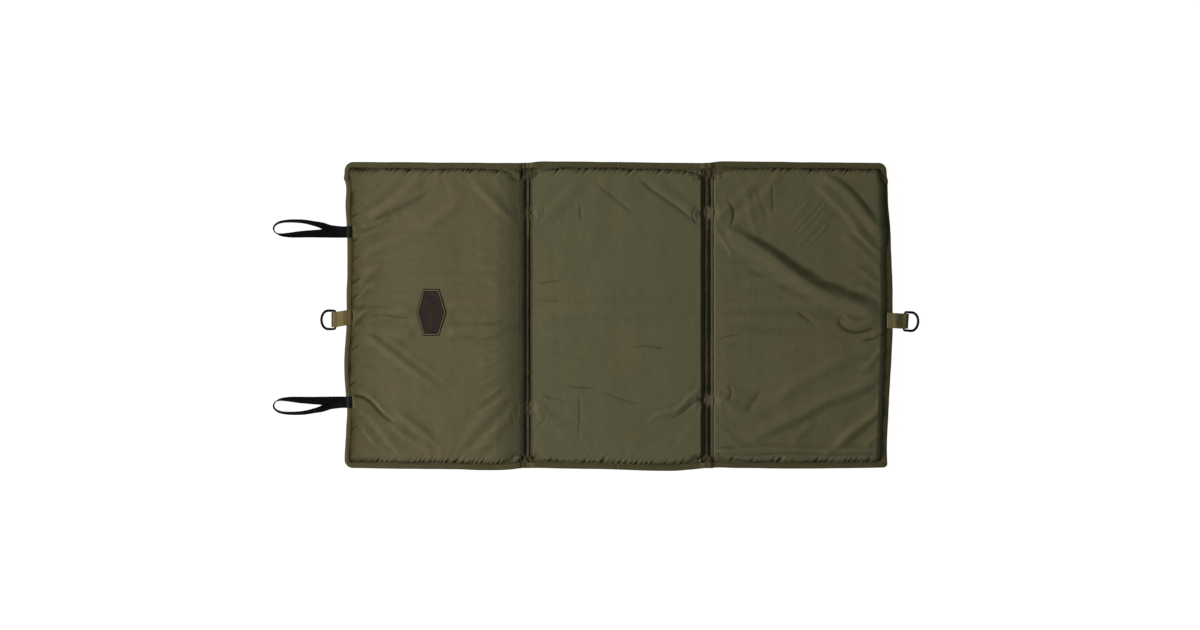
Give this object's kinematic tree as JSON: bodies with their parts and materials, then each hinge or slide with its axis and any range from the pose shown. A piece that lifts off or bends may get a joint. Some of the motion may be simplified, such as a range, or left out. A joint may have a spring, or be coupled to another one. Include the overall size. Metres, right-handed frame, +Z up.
{
  "type": "unhooking mat",
  "caption": "Folding padded mat with foam panels in fabric covers, taped edges, D-rings on webbing tabs and elastic retaining loops.",
  "frame": {"origin": "middle of the middle panel's underside, on the surface that the mat lies on", "axes": "+X along the mat from the end with the elastic loops to the other end, +Y across it, +Z up out of the face that the fish lies on"},
  "size_m": [1.0732, 0.508, 0.0212],
  "materials": {
    "olive_nylon": "satin",
    "base_fabric": "matte",
    "binding_tape": "matte",
    "foam_core": "matte",
    "black_elastic": "satin",
    "tan_webbing": "matte",
    "olive_webbing": "matte",
    "black_steel": "gloss",
    "thread": "satin",
    "badge_rubber": "matte"
  },
  "bodies": {
    "middle_panel": {"foam_pad_middle": "foam_core", "top_cover_middle": "olive_nylon", "base_cover_middle": "base_fabric", "binding_middle_rear": "binding_tape", "binding_middle_front": "binding_tape"},
    "left_fold": {"fold_web_left": "olive_nylon", "binding_left_fold_rear": "binding_tape", "binding_left_fold_front": "binding_tape", "fold_tack_left_rear": "thread", "fold_tack_left_front": "thread"},
    "left_panel": {"foam_pad_left": "foam_core", "top_cover_left": "olive_nylon", "base_cover_left": "base_fabric", "binding_left": "binding_tape", "badge_patch": "badge_rubber", "loop_end_rear": "black_elastic", "loop_end_front": "black_elastic", "loop_tack_rear": "thread", "loop_tack_front": "thread", "tab_end_left": "tan_webbing", "tab_stitch_left": "thread"},
    "right_fold": {"fold_web_right": "olive_nylon", "binding_right_fold_rear": "binding_tape", "binding_right_fold_front": "binding_tape", "fold_tack_right_rear": "thread", "fold_tack_right_front": "thread"},
    "right_panel": {"foam_pad_right": "foam_core", "top_cover_right": "olive_nylon", "base_cover_right": "base_fabric", "binding_right": "binding_tape", "tab_end_right": "olive_webbing", "tab_stitch_right": "thread"},
    "left_tab": {"webbing_tab_left": "tan_webbing"},
    "right_tab": {"webbing_tab_right": "olive_webbing"},
    "left_ring": {"d_ring_left": "black_steel"},
    "right_ring": {"d_ring_right": "black_steel"},
    "rear_loop": {"elastic_loop_rear": "black_elastic"},
    "front_loop": {"elastic_loop_front": "black_elastic"}
  },
  "joints": [
    {"name": "left_fold_inner", "type": "hinge", "parent": "middle_panel", "child": "left_fold", "pos_m": [-0.1421, 0, 0.008], "axis": [0, -1, 0], "range_deg": [0, 88.5]},
    {"name": "left_fold_outer", "type": "hinge", "parent": "left_fold", "child": "left_panel", "pos_m": [-0.1591, 0, 0.008], "axis": [0, -1, 0], "range_deg": [0, 88.5]},
    {"name": "right_fold_inner", "type": "hinge", "parent": "middle_panel", "child": "right_fold", "pos_m": [0.1421, 0, 0.012], "axis": [0, -1, 0], "range_deg": [0, 88.5]},
    {"name": "right_fold_outer", "type": "hinge", "parent": "right_fold", "child": "right_panel", "pos_m": [0.1591, 0, 0.012], "axis": [0, -1, 0], "range_deg": [0, 88.5]},
    {"name": "left_tab_flex", "type": "hinge", "parent": "left_panel", "child": "left_tab", "pos_m": [-0.4515, -0.0033, 0.0136], "axis": [0, 1, 0], "range_deg": [-60, 80]},
    {"name": "left_ring_swing", "type": "hinge", "parent": "left_tab", "child": "left_ring", "pos_m": [-0.4674, -0.0064, 0.0042], "axis": [0, 1, 0], "range_deg": [-75, 110]},
    {"name": "right_tab_flex", "type": "hinge", "parent": "right_panel", "child": "right_tab", "pos_m": [0.4605, -0.0077, 0.0136], "axis": [0, -1, 0], "range_deg": [-60, 80]},
    {"name": "right_ring_swing", "type": "hinge", "parent": "right_tab", "child": "right_ring", "pos_m": [0.4776, -0.0086, 0.0042], "axis": [-0.0698, -0.9976, 0], "range_deg": [-75, 110]},
    {"name": "rear_loop_flex", "type": "hinge", "parent": "left_panel", "child": "rear_loop", "pos_m": [-0.4515, 0.1393, 0.0138], "axis": [0, 1, 0], "range_deg": [-80, 90]},
    {"name": "front_loop_flex", "type": "hinge", "parent": "left_panel", "child": "front_loop", "pos_m": [-0.4515, -0.1431, 0.0138], "axis": [0, 1, 0], "range_deg": [-80, 90]}
  ],
  "couplings": [
    {"joint": "left_fold_outer", "follows": "left_fold_inner", "ratio": 1},
    {"joint": "right_fold_outer", "follows": "right_fold_inner", "ratio": 1}
  ]
}
